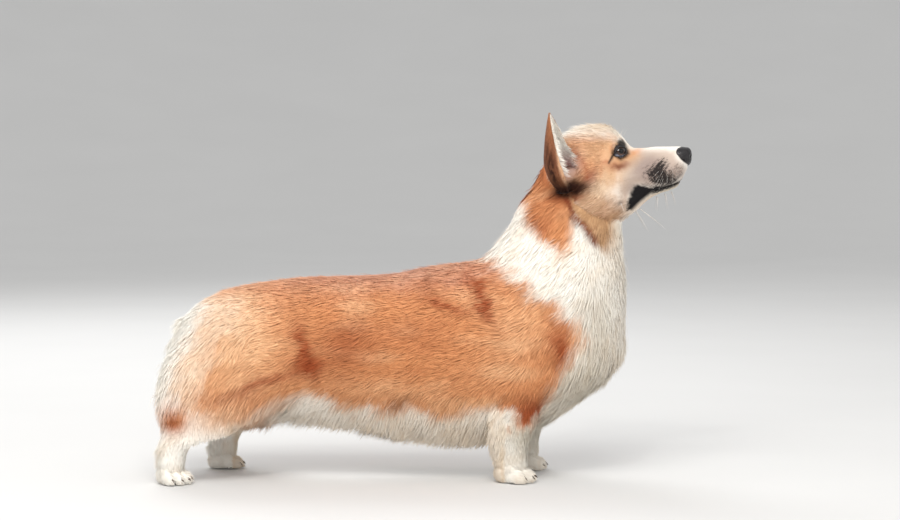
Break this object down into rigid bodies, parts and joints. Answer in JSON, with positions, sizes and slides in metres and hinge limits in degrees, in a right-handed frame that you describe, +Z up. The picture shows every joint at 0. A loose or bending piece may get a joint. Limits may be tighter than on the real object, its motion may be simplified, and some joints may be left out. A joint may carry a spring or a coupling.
{
  "type": "corgi model",
  "caption": "Life-size Pembroke Welsh Corgi standing on four paws with its head raised and ears erect, in a red and white coat.",
  "frame": {"origin": "on the floor, under the middle of the model's box", "axes": "+X forward, the way the dog looks; +Y to the dog's left; +Z up"},
  "size_m": [0.6946, 0.1939, 0.4727],
  "materials": {
    "coat_red": "dense red-fawn dog hair",
    "coat_white": "dense white to cream dog hair",
    "nose_leather": "moist black skin of the nose, lips, claws and pads",
    "eye": "wet dark brown eye"
  },
  "bodies": {
    "root": {"torso": "coat_red", "neck": "coat_white", "head": "coat_red", "lower_jaw": "coat_white", "nose": "nose_leather", "ear_left": "coat_red", "ear_right": "coat_red", "eye_left": "eye", "eye_right": "eye", "tail": "coat_red", "shoulder_left": "coat_red", "shoulder_right": "coat_red", "foreleg_left": "coat_white", "foreleg_right": "coat_white", "forepaw_left": "coat_white", "forepaw_right": "coat_white", "thigh_left": "coat_red", "thigh_right": "coat_red", "hindleg_left": "coat_red", "hindleg_right": "coat_red", "hindpaw_left": "coat_white", "hindpaw_right": "coat_white"}
  },
  "joints": []
}
